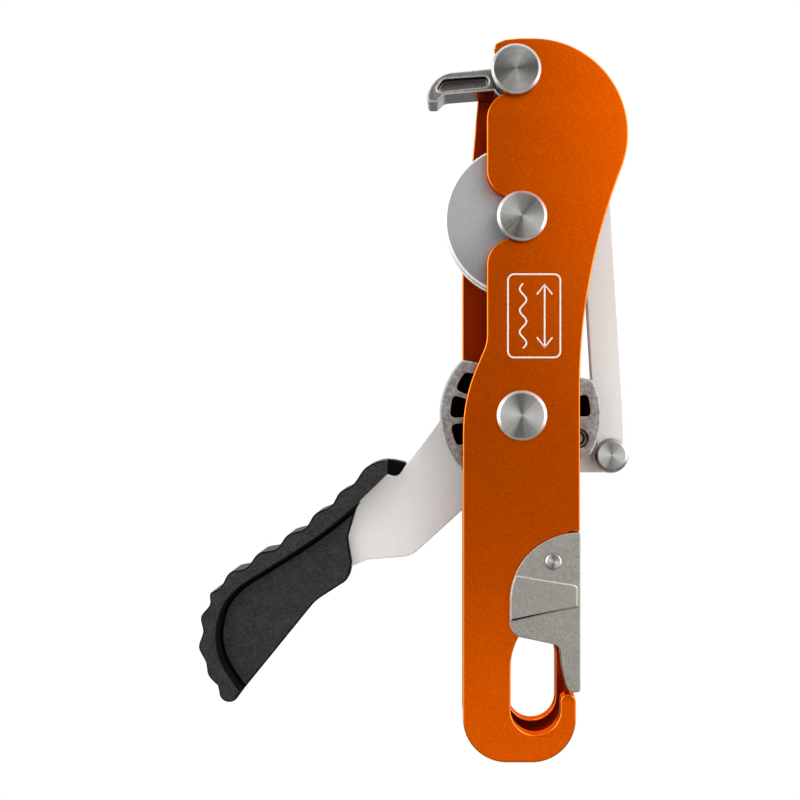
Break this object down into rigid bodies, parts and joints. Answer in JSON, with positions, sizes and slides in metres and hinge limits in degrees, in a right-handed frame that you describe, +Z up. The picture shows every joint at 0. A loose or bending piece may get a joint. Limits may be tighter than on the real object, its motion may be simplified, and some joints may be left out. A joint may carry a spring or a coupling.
{
  "type": "anti-panic descender",
  "caption": "Rope descender with two side plates, a cam bobbin worked by a folding hand lever, a link to a brake arm over a fixed bobbin, and a sprung gate at its carabiner eye.",
  "frame": {"origin": "centre of the round lower end of the carabiner eye, half way between the two side plates", "axes": "+Z up the descender from the eye to the brake arm, +X to the link bar's side, +Y out of the rear plate"},
  "size_m": [0.143, 0.0314, 0.2352],
  "materials": {
    "orange_anodised": "satin orange anodised aluminium",
    "turned_steel": "turned and radially brushed stainless steel",
    "satin_aluminium": "satin turned aluminium",
    "cast_steel": "cast and tumbled stainless steel",
    "blasted_steel": "bead-blasted stainless steel sheet",
    "gate_steel": "matt investment-cast steel",
    "charcoal_rubber": "matt charcoal moulded rubber",
    "bush_bronze": "plain bearing bronze",
    "spring_steel": "drawn spring steel"
  },
  "bodies": {
    "root": {"rear_plate": "orange_anodised", "main_axle": "turned_steel", "upper_bobbin_post": "turned_steel", "top_post": "turned_steel", "main_axle_screw": "turned_steel", "upper_bobbin_screw": "turned_steel", "top_post_screw": "turned_steel", "upper_bobbin": "satin_aluminium", "bobbin_dowel": "turned_steel", "lever_stop_pin": "turned_steel"},
    "side_plate": {"front_plate": "orange_anodised", "front_plate_bush": "bush_bronze", "gate_pin": "turned_steel"},
    "gate_latch": {"gate": "gate_steel", "gate_spring": "spring_steel"},
    "lever": {"handle_lever": "blasted_steel", "lower_cam_bobbin": "cast_steel", "cam_bush": "bush_bronze", "return_spring": "spring_steel", "drive_pin": "turned_steel", "handle_grip": "charcoal_rubber", "link_lower_pin": "turned_steel", "link_lower_clip": "spring_steel"},
    "link": {"link_bar": "blasted_steel"},
    "brake_arm": {"top_brake_arm": "cast_steel", "top_arm_bush": "bush_bronze", "link_upper_pin": "turned_steel", "link_upper_clip": "spring_steel"}
  },
  "joints": [
    {"name": "side_plate_swing", "type": "hinge", "parent": "root", "child": "side_plate", "pos_m": [-0.0046, 0, 0.0957], "axis": [0, 1, 0], "range_deg": [0, 95]},
    {"name": "gate_swing", "type": "hinge", "parent": "side_plate", "child": "gate_latch", "pos_m": [0.0056, 0, 0.0485], "axis": [0, 1, 0], "range_deg": [0, 24], "stiffness_Nm_per_rad": 0.02, "springref_deg": -57.3},
    {"name": "lever_squeeze", "type": "hinge", "parent": "root", "child": "lever", "pos_m": [-0.0046, 0, 0.0957], "axis": [0, -1, 0], "range_deg": [0, 30], "stiffness_Nm_per_rad": 0.6, "springref_deg": -45.84},
    {"name": "link_turn", "type": "hinge", "parent": "lever", "child": "link", "pos_m": [0.02596, 0, 0.08235], "axis": [0, -1, 0], "range_deg": [-29.8, 0]},
    {"name": "brake_arm_swing", "type": "hinge", "parent": "root", "child": "brake_arm", "pos_m": [-0.0065, 0, 0.2074], "axis": [0, -1, 0], "range_deg": [0, 35.2]}
  ],
  "couplings": [
    {"joint": "link_turn", "follows": "lever_squeeze", "ratio": -0.9917},
    {"joint": "brake_arm_swing", "follows": "lever_squeeze", "ratio": 1.17}
  ]
}
